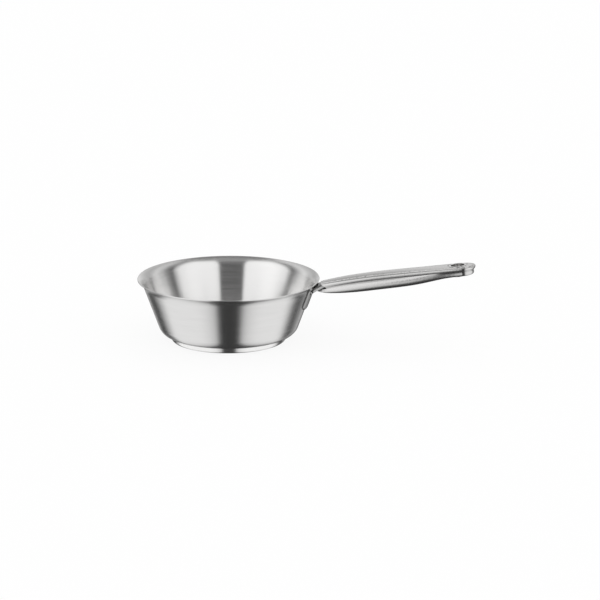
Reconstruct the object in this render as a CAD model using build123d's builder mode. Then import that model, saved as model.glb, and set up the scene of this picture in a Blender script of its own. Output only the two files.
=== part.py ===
from build123d import *
import os
from math import atan, cos, degrees, radians, sin, tan

os.makedirs("parts", exist_ok=True)

# A flared saucier pan, in millimetres. The origin is the centre of the underside, +Z is up
# and the handle runs out along +X. The pan rests on z = 0.

# Pan body: one spun sheet, a flared wall with a pouring lip
pan_height = 70.0
wall_thickness = 1.0
wall_lean = 20.0               # degrees from vertical
lip_radius = 101.6             # outer edge of the lip
lip_lean = 64.0                # degrees from vertical at the lip's edge
lip_bend_radius = 14.0
floor_corner_radius = 15.0
lip_bevel_share = 0.3          # of the wall, off each corner of the cut edge

# Base: an aluminium disc inside a pressed steel capsule
base_height = 6.0
base_radius = 64.3             # where the capsule meets the pan's floor
capsule_thickness = 0.6
capsule_draft = 3.0            # degrees, how far the capsule's side leans in to the underside
capsule_edge_radius = 1.8

# Bracket: a flange on the wall and an arched neck that runs into the handle
bracket_thickness = 2.0
flange_height = 25.6
flange_width = 30.0
flange_corner_radius = 4.0
flange_past_wall = 4.2         # height of the flange's edge past the start of the lip's bend
neck_root_width = 23.0
neck_waist_width = 15.0
neck_tongue_width = 13.0
neck_root_arch = 26.0          # radius of the neck's top, across
neck_mouth_arch = 19.0
neck_tongue_arch = 12.5
neck_root = 9.5                # from the handle's mouth back into the bend on the flange
neck_root_drop = 4.8           # how far the bend turns down from the handle's line
neck_waist = 7.0               # from the mouth to the neck's narrow part
neck_tongue = 18.0             # from the mouth to the end inside the handle
neck_seat_gap = 0.1            # under the crown of the handle's top shell
neck_bend_radius = 2.5         # on the underside, where the neck leaves the flange

# Handle: two pressed shells that meet at a seam along each side
shell_thickness = 1.0
handle_reach = 7.4             # from the start of the lip's bend out to the mouth
handle_lift = 8.3              # from the start of the lip's bend up to the ridge at the mouth
handle_length = 174.0          # along x, from the mouth to the end
handle_rise = 28.6             # of the ridge, from the mouth to the end
handle_width = 28.0
handle_depth = 19.4            # ridge to belly at the fullest section
seam_depth = 7.4               # ridge to seam at the fullest section
groove_depth = 0.8
nose_set_back = 2.0            # from the mouth to the tip of the top shell's nose
nose_length = 6.5              # the nose runs back and down from its tip to the sides
nose_drop = 3.9
mouth_wall = 1.6               # closes the front of the bottom shell

# Hanging hole: an eyelet through both shells, its flanges in round seats
hole_radius = 7.5
hole_from_tip = 19.5
eyelet_wall = 0.7
eyelet_flange = 1.6
eyelet_bevel = 0.3
seat_depth = 0.9
seat_clearance = 1.0           # round the eyelet's flange
seat_draft = 30.0              # degrees, the slope of the seat's side

overrun = 2.0                  # how far cuts pass the faces that they open


def lean(angle):
    """Direction of a line in the profile plane that leans outward from vertical."""
    return (sin(radians(angle)), cos(radians(angle)))


# Pan profile, outer face: floor, wall and lip as (radius, height)
lip_end = (lip_radius, pan_height - wall_thickness * sin(radians(lip_lean)))
lip_start = (
    lip_end[0] - lip_bend_radius * (cos(radians(wall_lean)) - cos(radians(lip_lean))),
    lip_end[1] - lip_bend_radius * (sin(radians(lip_lean)) - sin(radians(wall_lean))),
)


def wall_radius(height):
    """Outer radius of the flared wall at a height."""
    return lip_start[0] - (lip_start[1] - height) * tan(radians(wall_lean))


def lip_line():
    """Outer face of the pouring lip, from the top of the wall to the lip's edge."""
    JernArc(
        start=lip_start, tangent=lean(wall_lean), radius=lip_bend_radius,
        arc_size=wall_lean - lip_lean,
    )


with BuildPart() as pan_body:
    with BuildSketch(Plane.XZ) as pan_profile:
        with BuildLine():
            FilletPolyline(
                (0, base_height), (wall_radius(base_height), base_height), lip_start,
                radius=floor_corner_radius,
            )
            lip_line()
            offset(amount=wall_thickness, side=Side.LEFT)
        make_face()
        lip_corners = pan_profile.vertices().sort_by(Axis.X)[-2:]
        chamfer(lip_corners, length=wall_thickness * lip_bevel_share)
    revolve(axis=Axis.Z)
pan_body.part.label = "pan_body"
export_step(pan_body.part, "parts/pan_body.step")


def capsule_line(inset):
    """Half outline of the base at a distance in from the capsule's outer face."""
    draft = radians(capsule_draft)
    top = base_radius - inset / cos(draft)
    foot = top - (base_height - inset) * tan(draft)
    FilletPolyline(
        (0, inset), (foot, inset), (top, base_height), radius=capsule_edge_radius - inset
    )
    Polyline((top, base_height), (0, base_height), (0, inset))


with BuildPart() as base_capsule:
    with BuildSketch(Plane.XZ):
        with BuildLine():
            capsule_line(0)
        make_face()
        with BuildLine():
            capsule_line(capsule_thickness)
        make_face(mode=Mode.SUBTRACT)
    revolve(axis=Axis.Z)
base_capsule.part.label = "base_capsule"
export_step(base_capsule.part, "parts/base_capsule.step")

with BuildPart() as heat_spreader_disc:
    with BuildSketch(Plane.XZ):
        with BuildLine():
            capsule_line(capsule_thickness)
        make_face()
    revolve(axis=Axis.Z)
heat_spreader_disc.part.label = "heat_spreader_disc"
export_step(heat_spreader_disc.part, "parts/heat_spreader_disc.step")

# Handle line. The ridge climbs from the mouth, steeply at first, and runs on almost straight.
handle_front = lip_start[0] + handle_reach
handle_tip = handle_front + handle_length
end_radius = handle_width / 2
ridge_straight_share = 0.705
ridge_power = 4


def ridge_height(x):
    """Height of the handle's ridge at x."""
    along = (x - handle_front) / handle_length
    climb = ridge_straight_share * along
    climb += (1 - ridge_straight_share) * (1 - (1 - along) ** ridge_power)
    return lip_start[1] + handle_lift + handle_rise * climb


def ridge_slope(x):
    """Rise of the ridge for each millimetre along x."""
    along = (x - handle_front) / handle_length
    steep = (1 - ridge_straight_share) * ridge_power * (1 - along) ** (ridge_power - 1)
    return (ridge_straight_share + steep) * handle_rise / handle_length


# Sections of the handle from the mouth to the centre of its round end. Along is a share of that
# way, depth, width and seam are shares of the full sizes, crown is the plain top's share of the
# section's width, fall and groove say how far the sides of the top drop and dip, and skirt goes
# from a round belly to a straight-sided one.
section_shares = (
    # along, depth, width, seam, crown, fall, groove, skirt
    (0.00, 0.48, 0.60, 0.98, 0.62, 0.55, 0.3, 0.0),
    (0.04, 0.65, 0.74, 1.00, 0.60, 0.65, 0.4, 0.0),
    (0.11, 0.81, 0.87, 1.00, 0.56, 0.80, 0.6, 0.0),
    (0.24, 0.96, 0.97, 1.00, 0.53, 0.95, 0.9, 0.0),
    (0.42, 1.00, 1.00, 1.00, 0.54, 1.00, 1.0, 0.0),
    (0.58, 0.97, 1.00, 0.97, 0.57, 1.00, 1.0, 0.1),
    (0.70, 0.89, 1.00, 0.88, 0.62, 1.00, 1.0, 0.3),
    (0.80, 0.76, 1.00, 0.76, 0.68, 1.00, 1.0, 0.6),
    (0.90, 0.64, 1.00, 0.65, 0.74, 1.00, 1.0, 0.93),
    (1.00, 0.59, 1.00, 0.60, 0.77, 1.00, 1.0, 1.0),
)
end_centre = handle_tip - end_radius * cos(atan(ridge_slope(handle_tip)))


# Top shell, on one side. Across, the crown's edge comes first and then the bead's start, as a
# share of the way on to the seam. The drops are shares of the fall, and a reach is how far a
# curve holds its direction, as a share of the seam's depth.
crown_drop_share = 0.20
bead_start_share = 0.6
bead_start_drop_share = 0.37
groove_in_share = 0.25
groove_out_share = 0.75
bead_reach_share = 0.33
tuck_reach_share = 0.64
tuck = Vector(-0.5, -0.87)      # direction in which the bead runs down to the seam
lining_share = 1.2              # sheet under the groove, in shell thicknesses
seam_round_share = 0.83
seam_skirt_share = 0.95

# Bottom shell, on one side. Bulge is the drop of the widest point, a share of the way from seam
# to bottom, and square goes from a pointed curve at 0 to a sharp corner at 1.
bulge_share = 0.46
square_round_share = 0.68
square_skirt_share = 0.93
hip_skirt_share = 0.84          # width of the straight-sided skirt, of the top shell's
side_reach_shares = (0.6, 0.2)  # across and down
side_hold_share = 0.45


class Section:
    """One cross-section: its plane, with the ridge at the origin, and its outline's points."""

    def __init__(self, shares):
        along, depth, width, seam, crown, fall, groove, skirt = shares
        self.x = handle_front + (end_centre - handle_front) * along
        self.tilt = atan(ridge_slope(self.x)) * along
        self.depth = handle_depth * depth
        self.half_width = handle_width / 2 * width
        self.seam = seam_depth * seam
        self.groove = groove_depth * groove
        self.square = square_round_share + (square_skirt_share - square_round_share) * skirt
        self.hip = self.half_width * (1 - (1 - hip_skirt_share) * skirt)
        seam_share = seam_round_share + (seam_skirt_share - seam_round_share) * skirt
        crown_across = self.half_width * crown
        bead_across = self.half_width * (crown + (seam_share - crown) * bead_start_share)
        fall *= self.seam
        self.crown_edge = Vector(crown_across, -fall * crown_drop_share)
        self.bead_start = Vector(bead_across, -fall * bead_start_drop_share)
        self.seam_end = Vector(self.half_width * seam_share, -self.seam)

    def plane(self, shift):
        return Plane(
            origin=(self.x + shift, 0, ridge_height(self.x)),
            x_dir=(0, 1, 0),
            z_dir=(cos(self.tilt), 0, sin(self.tilt)),
        )


sections = [Section(shares) for shares in section_shares]
last = sections[-1]
end_axis = Axis((last.x, 0, ridge_height(last.x)), (sin(last.tilt), 0, -cos(last.tilt)))


def crown_outline(section):
    """Crown, groove and bead of the top shell's outer face, on one side."""
    run = section.bead_start.X - section.crown_edge.X
    crown = TangentArc((0, 0), section.crown_edge, tangent=(1, 0))
    groove = Bezier(
        section.crown_edge,
        section.crown_edge + (crown % 1) * run * groove_in_share,
        section.bead_start - Vector(run * groove_out_share, section.groove),
        section.bead_start,
    )
    Bezier(
        section.bead_start,
        section.bead_start + (groove % 1) * section.seam * bead_reach_share,
        section.seam_end - tuck * section.seam * tuck_reach_share,
        section.seam_end,
    )
    Polyline(section.seam_end, (0, -section.seam), (0, 0))


def crown_lining(section):
    """Hollow of the top shell on one side, one plain curve under groove and bead."""
    crown_edge = section.crown_edge - Vector(shell_thickness, shell_thickness)
    seam_end = section.seam_end - Vector(shell_thickness, 0)
    cut_end = seam_end + tuck * overrun
    TangentArc((0, -shell_thickness), crown_edge, tangent=(1, 0))
    Bezier(
        crown_edge,
        section.bead_start - Vector(0, section.groove + shell_thickness * lining_share),
        seam_end - tuck * (section.seam * tuck_reach_share - shell_thickness / 2),
        cut_end,
    )
    Polyline(cut_end, (0, cut_end.Y), (0, -shell_thickness))


def belly_outline(section, inset=0, opening=0):
    """Side and belly of the bottom shell on one side, in from its outer face by inset."""
    seam_end = section.seam_end - Vector(inset, 0)
    bottom = inset - section.depth
    drop = bottom - seam_end.Y
    widest = Vector(section.hip - inset, seam_end.Y + drop * bulge_share)
    across, down = side_reach_shares
    reach = Vector((widest.X - seam_end.X) * across, (widest.Y - seam_end.Y) * down)
    cut_end = seam_end - reach.normalized() * opening
    Bezier(
        cut_end,
        seam_end + reach,
        widest - Vector(0, (widest.Y - seam_end.Y) * side_hold_share),
        widest,
    )
    Bezier(
        widest,
        widest + Vector(0, (bottom - widest.Y) * section.square),
        Vector(widest.X * section.square, bottom),
        (0, bottom),
    )
    Polyline((0, bottom), (0, cut_end.Y), cut_end)


def belly_lining(section):
    """Hollow of the bottom shell on one side, open past the seam."""
    belly_outline(section, shell_thickness, overrun)


def section_sketch(section, outline, shift=0, whole=True):
    """An outline, filled, on its section's plane. Whole adds the other side."""
    with BuildSketch(section.plane(shift)) as sketch:
        with BuildLine():
            outline(section)
        make_face()
        if whole:
            mirror(about=Plane.YZ)
    return sketch.sketch


def handle_body(outline, front_shift=0, mode=Mode.ADD):
    """Loft an outline along the handle and turn its last section round the end."""
    faces = [section_sketch(sections[0], outline, front_shift)]
    faces += [section_sketch(section, outline) for section in sections[1:]]
    loft(sections=faces, mode=mode)
    side = section_sketch(last, outline, whole=False)
    revolve(side, axis=end_axis, revolution_arc=180, mode=mode)


# Hanging hole: its plane touches the ridge above the hole's centre and leans with the handle
hole_x = handle_tip - hole_from_tip
hole_tilt = atan(ridge_slope(hole_x))
hole_plane = Plane(
    origin=(hole_x, 0, ridge_height(hole_x)),
    x_dir=(cos(hole_tilt), 0, sin(hole_tilt)),
    z_dir=(-sin(hole_tilt), 0, cos(hole_tilt)),
)
hole_profile_plane = Plane(
    origin=hole_plane.origin, x_dir=hole_plane.x_dir, z_dir=(0, -1, 0)
)
hole_axis = Axis(hole_plane.origin, hole_plane.z_dir)
near, far = sections[-2:]
hole_depth = near.depth + (far.depth - near.depth) * (hole_x - near.x) / (far.x - near.x)
top_seat = -seat_depth
bottom_seat = seat_depth - hole_depth
eyelet_radius = hole_radius + eyelet_wall
flange_radius = eyelet_radius + eyelet_flange
seat_radius = flange_radius + seat_clearance

with BuildPart() as crown_cavity:
    handle_body(crown_lining, -overrun)
    with BuildSketch(hole_plane.offset(top_seat - shell_thickness)):
        Circle(seat_radius + shell_thickness)
    extrude(amount=seat_depth + shell_thickness, mode=Mode.SUBTRACT)

nose_tip = (handle_front + nose_set_back, ridge_height(handle_front + nose_set_back))
nose_plane = Plane(
    origin=(nose_tip[0], 0, nose_tip[1]), x_dir=(0, 1, 0), z_dir=(nose_drop, 0, nose_length)
)

with BuildPart() as handle_top_shell:
    handle_body(crown_outline)
    add(crown_cavity.part, mode=Mode.SUBTRACT)
    split(bisect_by=nose_plane, keep=Keep.TOP)
    with BuildSketch(hole_plane.offset(top_seat)):
        Circle(seat_radius)
    extrude(amount=seat_depth + overrun, taper=-seat_draft, mode=Mode.SUBTRACT)
    with BuildSketch(hole_plane.offset(overrun)):
        Circle(eyelet_radius)
    extrude(amount=-hole_depth, mode=Mode.SUBTRACT)
handle_top_shell.part.label = "handle_top_shell"
export_step(handle_top_shell.part, "parts/handle_top_shell.step")

with BuildPart() as belly_cavity:
    handle_body(belly_lining, mouth_wall)
    with BuildSketch(hole_plane.offset(bottom_seat + shell_thickness)):
        Circle(seat_radius + shell_thickness)
    extrude(amount=-seat_depth - shell_thickness, mode=Mode.SUBTRACT)

with BuildPart() as handle_bottom_shell:
    handle_body(belly_outline)
    add(belly_cavity.part, mode=Mode.SUBTRACT)
    with BuildSketch(hole_plane.offset(bottom_seat)):
        Circle(seat_radius)
    extrude(amount=-seat_depth - overrun, taper=-seat_draft, mode=Mode.SUBTRACT)
    with BuildSketch(hole_plane):
        Circle(eyelet_radius)
    extrude(amount=-hole_depth - overrun, mode=Mode.SUBTRACT)
handle_bottom_shell.part.label = "handle_bottom_shell"
export_step(handle_bottom_shell.part, "parts/handle_bottom_shell.step")

with BuildPart() as hanging_eyelet:
    with BuildSketch(hole_profile_plane) as eyelet_profile:
        with BuildLine():
            Polyline(
                (hole_radius, top_seat + eyelet_wall),
                (flange_radius, top_seat + eyelet_wall),
                (flange_radius, top_seat),
                (eyelet_radius, top_seat),
                (eyelet_radius, bottom_seat),
                (flange_radius, bottom_seat),
                (flange_radius, bottom_seat - eyelet_wall),
                (hole_radius, bottom_seat - eyelet_wall),
                close=True,
            )
        make_face()
        outer = eyelet_profile.vertices().sort_by(Axis.Y)
        chamfer(outer[:2] + outer[-2:], length=eyelet_bevel)
    revolve(axis=hole_axis)
hanging_eyelet.part.label = "hanging_eyelet"
export_step(hanging_eyelet.part, "parts/hanging_eyelet.step")

# Bracket. The flange is a band of the wall's own cone, cut to a rounded plate. The arched neck
# grows out of it, and the pan's outer face trims both.
flange_top = lip_start[1] + flange_past_wall
flange_bottom = flange_top - flange_height
step_out = bracket_thickness * cos(radians(wall_lean))
step_down = bracket_thickness * sin(radians(wall_lean))
flange_arc = 2 * degrees(atan(flange_width / wall_radius(flange_bottom)))


def neck_sketch(shift, width, arch, drop=0):
    """Arched cross-section of the neck at a distance from the handle's mouth."""
    x = handle_front + shift
    top = ridge_height(x) - shell_thickness - neck_seat_gap - drop
    half = width / 2
    outer_drop = arch - (arch**2 - half**2) ** 0.5
    inner_drop = arch - ((arch - bracket_thickness) ** 2 - half**2) ** 0.5
    with BuildSketch(Plane(origin=(x, 0, top), x_dir=(0, 1, 0), z_dir=(1, 0, 0))) as sketch:
        with BuildLine():
            ThreePointArc((-half, -outer_drop), (0, 0), (half, -outer_drop))
            Line((half, -outer_drop), (half, -inner_drop))
            ThreePointArc((half, -inner_drop), (0, -bracket_thickness), (-half, -inner_drop))
            Line((-half, -inner_drop), (-half, -outer_drop))
        make_face()
    return sketch.sketch


with BuildPart() as handle_bracket:
    with BuildSketch(Plane.XZ.rotated((0, 0, -flange_arc / 2))):
        with BuildLine():
            low = flange_bottom - overrun
            high = flange_top + overrun
            Polyline(
                (wall_radius(low) - overrun, low),
                (wall_radius(high) - overrun, high),
                (wall_radius(high) + step_out, high - step_down),
                (wall_radius(low) + step_out, low - step_down),
                close=True,
            )
        make_face()
    revolve(axis=Axis.Z, revolution_arc=flange_arc)
    with BuildSketch(Plane.YZ):
        with Locations((0, flange_top - flange_height / 2)):
            RectangleRounded(flange_width, flange_height, flange_corner_radius)
    extrude(amount=lip_radius + overrun, mode=Mode.INTERSECT)
    loft([
        neck_sketch(-neck_root, neck_root_width, neck_root_arch, neck_root_drop),
        neck_sketch(0, neck_root_width, neck_mouth_arch),
        neck_sketch(neck_waist, neck_waist_width, neck_tongue_arch),
        neck_sketch((neck_waist + neck_tongue) / 2, neck_tongue_width, neck_tongue_arch),
        neck_sketch(neck_tongue, neck_tongue_width, neck_tongue_arch),
    ])
    underside_joint = handle_bracket.edges(Select.NEW).sort_by(SortBy.LENGTH)[-1]
    fillet(underside_joint, radius=neck_bend_radius)
    with BuildSketch(Plane.XZ):
        with BuildLine():
            above = pan_height + overrun
            Polyline((0, above), (0, 0), (wall_radius(0), 0), lip_start)
            lip_line()
            Polyline(lip_end, (lip_radius, above), (0, above))
        make_face()
    revolve(axis=Axis.Z, mode=Mode.SUBTRACT)
handle_bracket.part.label = "handle_bracket"
export_step(handle_bracket.part, "parts/handle_bracket.step")
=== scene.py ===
"""A flared saucier pan in brushed stainless steel, on a white floor in a plain studio.

Lengths are in metres and angles in degrees. The pan's axis is Z and its handle runs out along +X.
"""

from math import cos, radians, sin

import bpy
from mathutils import Matrix, Vector

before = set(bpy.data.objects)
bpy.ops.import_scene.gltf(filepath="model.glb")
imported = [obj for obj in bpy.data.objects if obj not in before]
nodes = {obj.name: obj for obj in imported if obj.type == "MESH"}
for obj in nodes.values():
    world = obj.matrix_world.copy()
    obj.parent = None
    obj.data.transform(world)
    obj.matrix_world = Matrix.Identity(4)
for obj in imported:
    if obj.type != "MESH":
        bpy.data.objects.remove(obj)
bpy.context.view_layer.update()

# Camera: a long lens from the front, a little above the rim and a little towards the handle
camera_azimuth = 10.0
camera_elevation = 14.8
camera_distance = 3.5
camera_reach = 100.0            # how far it sees
sensor_millimetres = 36.0
picture_size = 600              # pixels across the photograph
pixels_per_metre = 898.0        # in the picture, at the pan's axis
rim_height = 0.070
rim_centre_pixel = (228.5, 277.6)

# Studio, as grey levels. Angles are degrees round the pan from the camera's side, positive to
# its right. A height is a direction's upward part, from -1 straight down to 1 overhead. Pairs of
# heights are where one level starts and ends giving way to another.
horizon_heights = (-0.1, 0.1)
# Below the horizon a dark gap in the tent runs from the camera under the pan to the far side:
# its level goes by how far a direction points to one side, 0 ahead and 1 square to the camera.
gap_centre = 0.025
gap_stops = (
    (0, 0.045), (0.13, 0.05), (0.19, 0.12), (0.25, 0.42), (0.31, 0.63), (0.43, 0.76),
    (0.56, 0.84), (1, 0.84),
)
# The tent's foot, near the horizon, is brighter by a factor
foot_level = 1.2
foot_heights = (-0.6, -0.35)
# Two dark stands behind the pan, as factors, over the same low levels
stand_heights = (-0.76, -0.6)
stand_stops = (
    (-180, 1.0), (-165, 0.8), (-152, 0.1), (-136, 0.05), (-125, 0.5), (-113, 1.0), (98, 1.0),
    (106, 0.88), (113, 0.66), (121, 0.18), (132, 0.06), (145, 0.3), (160, 0.65), (180, 1.0),
)
# Above the horizon: the walls of the tent, which the inside of the bowl sees, and its top
tent_stops = (
    (-180, 0.8), (-155, 0.45), (-139, 0.6), (-126, 0.8), (-116, 0.6), (-108, 0.3),
    (-99, 0.12), (-94, 0.5), (-88, 1.0), (-66, 1.12), (-30, 1.04), (0, 1.0), (30, 1.02),
    (60, 1.03), (76, 0.95), (82, 0.6), (88, 0.08), (96, 0.2), (108, 0.5), (119, 0.72),
    (140, 0.45), (180, 0.8),
)
top_level = 0.2
top_heights = (0.8, 0.94)
# A dark card over the camera, by how far a direction points to the right, and to the back
card_left = (-0.36, -0.31)
card_right = (0.20, 0.26)
card_back = (0.0, -0.15)
card_level = 0.1
card_top_level = 0.35
card_top_heights = (0.5, 0.95)
white = (1.0, 1.0, 1.0, 1.0)

floor_size = 60.0
floor_colour = (0.99, 0.99, 0.99, 1.0)
floor_glow = 0.88               # share of plain white in the floor that the camera sees

# Brush lines
handle_lean = 10.0              # degrees of rise
brush_lines = 420.0             # coarsest lines per metre, across the brushing
brush_detail = 3.0              # finer octaves of lines
brush_runs = 14.0               # breaks in a line per metre, along the handle
brush_turns = 2.0               # the same round the bowl, over its radius
brush_depth = 0.00002
brush_colour = 0.05             # share by which the lines change the colour
brush_roughness = 0.35          # and the roughness
brush_spread = 0.25             # turns, so that highlights spread across the lines
least_reach = 0.001             # from the pan's axis, where a line has no direction


def put(tree, socket, item):
    """Link an input to a socket, or set it to a number or colour."""
    if isinstance(item, bpy.types.NodeSocket):
        tree.links.new(item, socket)
    else:
        socket.default_value = item


def value(tree, operation, *inputs):
    """Math node on sockets or numbers; gives its output socket."""
    node = tree.nodes.new("ShaderNodeMath")
    node.operation = operation
    for socket, item in zip(node.inputs, inputs):
        put(tree, socket, item)
    return node.outputs[0]


def remap(tree, item, low, high, to_low=0.0, to_high=1.0):
    """Smooth step of a socket from one range to another."""
    node = tree.nodes.new("ShaderNodeMapRange")
    node.interpolation_type = "SMOOTHSTEP"
    tree.links.new(item, node.inputs["Value"])
    for name, number in (
        ("From Min", low), ("From Max", high), ("To Min", to_low), ("To Max", to_high),
    ):
        node.inputs[name].default_value = number
    return node.outputs["Result"]


def grey(level):
    """Colour of one grey level."""
    return (level, level, level, 1.0)


def levels(tree, item, stops):
    """Grey levels over a range: a colour ramp on a socket that runs from 0 to 1."""
    first, last = stops[0][0], stops[-1][0]
    ramp = tree.nodes.new("ShaderNodeValToRGB")
    ramp.color_ramp.interpolation = "EASE"
    elements = ramp.color_ramp.elements
    while len(elements) < len(stops):
        elements.new(1.0)
    for element, (place, level) in zip(elements, stops):
        element.position = (place - first) / (last - first)
        element.color = grey(level)
    tree.links.new(item, ramp.inputs["Fac"])
    return ramp.outputs["Color"]


def mix(tree, factor, first, second, mode="MIX"):
    """Mix node on colour sockets or colours."""
    node = tree.nodes.new("ShaderNodeMix")
    node.data_type = "RGBA"
    node.blend_type = mode
    colours = [s for s in node.inputs if s.type == "RGBA"]
    for socket, item in ((node.inputs["Factor"], factor), *zip(colours, (first, second))):
        put(tree, socket, item)
    return next(s for s in node.outputs if s.type == "RGBA")


def combine(tree, *items):
    """Vector from three sockets or numbers."""
    node = tree.nodes.new("ShaderNodeCombineXYZ")
    for socket, item in zip(node.inputs, items):
        put(tree, socket, item)
    return node.outputs["Vector"]


def make_world():
    """White to the camera. To the pan, a bright tent with a few dark gaps round it."""
    world = bpy.data.worlds.new("studio")
    world.use_nodes = True
    bpy.context.scene.world = world
    tree = world.node_tree
    tree.nodes.clear()
    direction = tree.nodes.new("ShaderNodeTexCoord").outputs["Generated"]
    turned = tree.nodes.new("ShaderNodeVectorRotate")
    turned.rotation_type = "Z_AXIS"
    turned.inputs["Angle"].default_value = radians(-camera_azimuth)
    tree.links.new(direction, turned.inputs["Vector"])
    split = tree.nodes.new("ShaderNodeSeparateXYZ")
    tree.links.new(turned.outputs["Vector"], split.inputs[0])
    x, y, z = split.outputs
    angle = value(tree, "ARCTAN2", x, value(tree, "MULTIPLY", y, -1.0))
    turn = value(tree, "MULTIPLY_ADD", angle, 1 / radians(360), 0.5)
    aside = value(tree, "ABSOLUTE", value(tree, "SUBTRACT", x, gap_centre))
    gap = levels(tree, value(tree, "MINIMUM", aside, 1.0), gap_stops)
    foot = mix(tree, remap(tree, z, *foot_heights), white, grey(foot_level))
    gap = mix(tree, 1.0, gap, foot, "MULTIPLY")
    stands = levels(tree, turn, stand_stops)
    stands = mix(tree, remap(tree, z, *stand_heights), white, stands)
    below = mix(tree, 1.0, gap, stands, "MULTIPLY")
    tent = levels(tree, turn, tent_stops)
    tent = mix(tree, remap(tree, z, *top_heights), tent, grey(top_level))
    card = value(
        tree, "MULTIPLY", remap(tree, x, *card_left), remap(tree, x, *card_right, 1.0, 0.0)
    )
    card = value(tree, "MULTIPLY", card, remap(tree, y, *card_back))
    shade = mix(tree, remap(tree, z, *card_top_heights), grey(card_level), grey(card_top_level))
    above = mix(tree, card, tent, shade)
    studio = mix(tree, remap(tree, z, *horizon_heights), below, above)
    path = tree.nodes.new("ShaderNodeLightPath").outputs
    plain = value(tree, "MAXIMUM", path["Is Camera Ray"], path["Is Diffuse Ray"])
    seen = mix(tree, plain, studio, white)
    background = tree.nodes.new("ShaderNodeBackground")
    tree.links.new(seen, background.inputs["Color"])
    output = tree.nodes.new("ShaderNodeOutputWorld")
    tree.links.new(background.outputs[0], output.inputs["Surface"])


def make_floor():
    """A plain white floor that keeps the pan's shadow."""
    half = floor_size / 2
    mesh = bpy.data.meshes.new("floor")
    corners = [(-half, -half, 0), (half, -half, 0), (half, half, 0), (-half, half, 0)]
    mesh.from_pydata(corners, [], [(0, 1, 2, 3)])
    floor = bpy.data.objects.new("floor", mesh)
    bpy.context.scene.collection.objects.link(floor)
    material = bpy.data.materials.new("floor_white")
    material.use_nodes = True
    tree = material.node_tree
    shader = tree.nodes["Principled BSDF"]
    shader.inputs["Base Color"].default_value = floor_colour
    shader.inputs["Roughness"].default_value = 1.0
    shader.inputs["Specular IOR Level"].default_value = 0.0
    glow = tree.nodes.new("ShaderNodeEmission")
    blend = tree.nodes.new("ShaderNodeMixShader")
    camera_ray = tree.nodes.new("ShaderNodeLightPath").outputs["Is Camera Ray"]
    tree.links.new(value(tree, "MULTIPLY", camera_ray, floor_glow), blend.inputs[0])
    tree.links.new(shader.outputs[0], blend.inputs[1])
    tree.links.new(glow.outputs[0], blend.inputs[2])
    tree.links.new(blend.outputs[0], tree.nodes["Material Output"].inputs["Surface"])
    mesh.materials.append(material)
    floor.visible_glossy = False


def make_camera():
    """Camera at the photograph's angle, with the rim's centre on its pixel."""
    a, e = radians(camera_azimuth), radians(camera_elevation)
    back = Vector((sin(a) * cos(e), -cos(a) * cos(e), sin(e)))
    right = Vector((cos(a), sin(a), 0))
    up = back.cross(right)
    across = (picture_size / 2 - rim_centre_pixel[0]) / pixels_per_metre
    down = (rim_centre_pixel[1] - picture_size / 2) / pixels_per_metre
    rim = Vector((0, 0, rim_height))
    data = bpy.data.cameras.new("camera")
    data.sensor_width = sensor_millimetres
    data.lens = sensor_millimetres * pixels_per_metre * camera_distance / picture_size
    data.clip_end = camera_reach
    camera = bpy.data.objects.new("camera", data)
    bpy.context.scene.collection.objects.link(camera)
    camera.location = rim + back * camera_distance + right * across + up * down
    camera.rotation_mode = "QUATERNION"
    camera.rotation_quaternion = Matrix((right, up, back)).transposed().to_quaternion()
    bpy.context.scene.camera = camera


def round_grain(tree):
    """Brush lines round the pan's axis."""
    tangent = tree.nodes.new("ShaderNodeTangent")
    tangent.direction_type = "RADIAL"
    tangent.axis = "Z"
    split = tree.nodes.new("ShaderNodeSeparateXYZ")
    place = tree.nodes.new("ShaderNodeTexCoord").outputs["Object"]
    tree.links.new(place, split.inputs[0])
    x, y, z = split.outputs
    reach = value(tree, "SQRT", value(tree, "MULTIPLY_ADD", x, x, value(tree, "MULTIPLY", y, y)))
    reach = value(tree, "MAXIMUM", reach, least_reach)
    lines = combine(
        tree,
        value(tree, "MULTIPLY", value(tree, "DIVIDE", x, reach), brush_turns),
        value(tree, "MULTIPLY", value(tree, "DIVIDE", y, reach), brush_turns),
        value(tree, "MULTIPLY", value(tree, "ADD", reach, z), brush_lines),
    )
    return tangent.outputs["Tangent"], lines


def long_grain(tree):
    """Brush lines along the handle."""
    lean = radians(handle_lean)
    tangent = combine(tree, cos(lean), 0.0, sin(lean))
    mapping = tree.nodes.new("ShaderNodeMapping")
    mapping.vector_type = "TEXTURE"
    mapping.inputs["Rotation"].default_value = (0, -lean, 0)
    mapping.inputs["Scale"].default_value = (1 / brush_runs, 1 / brush_lines, 1 / brush_lines)
    place = tree.nodes.new("ShaderNodeTexCoord").outputs["Object"]
    tree.links.new(place, mapping.inputs["Vector"])
    return tangent, mapping.outputs["Vector"]


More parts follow.
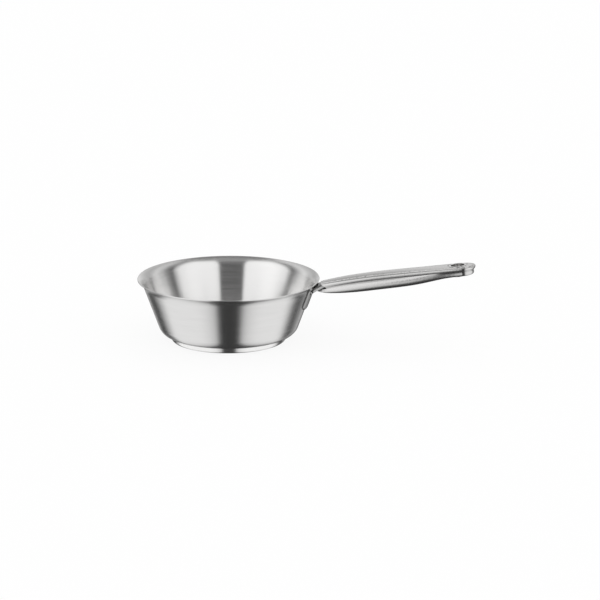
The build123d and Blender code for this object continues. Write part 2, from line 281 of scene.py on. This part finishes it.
def brushed_metal(name, grain, colour, roughness, anisotropy, relief):
    """Metal with fine brush lines; grain gives their direction and stretched coordinates."""
    material = bpy.data.materials.new(name)
    material.use_nodes = True
    tree = material.node_tree
    shader = tree.nodes["Principled BSDF"]
    shader.inputs["Metallic"].default_value = 1.0
    shader.inputs["Anisotropic"].default_value = anisotropy
    shader.inputs["Anisotropic Rotation"].default_value = brush_spread
    tangent, lines = grain(tree)
    tree.links.new(tangent, shader.inputs["Tangent"])
    noise = tree.nodes.new("ShaderNodeTexNoise")
    noise.inputs["Scale"].default_value = 1.0
    noise.inputs["Detail"].default_value = brush_detail
    tree.links.new(lines, noise.inputs["Vector"])
    brush = noise.outputs[0]
    dim = tuple(c * (1 - brush_colour) for c in colour)
    bright = tuple(min(1.0, c * (1 + brush_colour)) for c in colour)
    tone = mix(tree, brush, (*dim, 1.0), (*bright, 1.0))
    tree.links.new(tone, shader.inputs["Base Color"])
    rough = value(
        tree, "MULTIPLY_ADD", brush, 2 * brush_roughness * roughness,
        (1 - brush_roughness) * roughness,
    )
    tree.links.new(rough, shader.inputs["Roughness"])
    bump = tree.nodes.new("ShaderNodeBump")
    bump.inputs["Strength"].default_value = relief
    bump.inputs["Distance"].default_value = brush_depth
    tree.links.new(brush, bump.inputs["Height"])
    tree.links.new(bump.outputs["Normal"], shader.inputs["Normal"])
    return material


make_world()
make_floor()
make_camera()

# Name, grain, colour, roughness, anisotropy, relief of the lines, and the pieces that have it
finishes = (
    ("bowl_steel", round_grain, (0.86, 0.855, 0.85), 0.21, 0.93, 0.5, ("pan_body",)),
    ("base_steel", round_grain, (0.88, 0.875, 0.87), 0.18, 0.85, 0.4, ("base_capsule",)),
    (
        "handle_steel", long_grain, (0.70, 0.695, 0.69), 0.2, 0.8, 0.4,
        ("handle_top_shell", "handle_bottom_shell"),
    ),
    # The bracket's colour is darkened well below the other steels: painted shade, standing in for
    # the dark line along the side of its flange
    ("bracket_steel", long_grain, (0.42, 0.417, 0.415), 0.2, 0.5, 0.4, ("handle_bracket",)),
    ("eyelet_steel", round_grain, (0.70, 0.695, 0.69), 0.15, 0.3, 0.2, ("hanging_eyelet",)),
    ("spreader_metal", round_grain, (0.80, 0.80, 0.80), 0.45, 0.6, 0.6, ("heat_spreader_disc",)),
)
for *finish, pieces in finishes:
    material = brushed_metal(*finish)
    for piece in pieces:
        nodes[piece].data.materials.clear()
        nodes[piece].data.materials.append(material)

bpy.context.scene.view_settings.view_transform = "Standard"
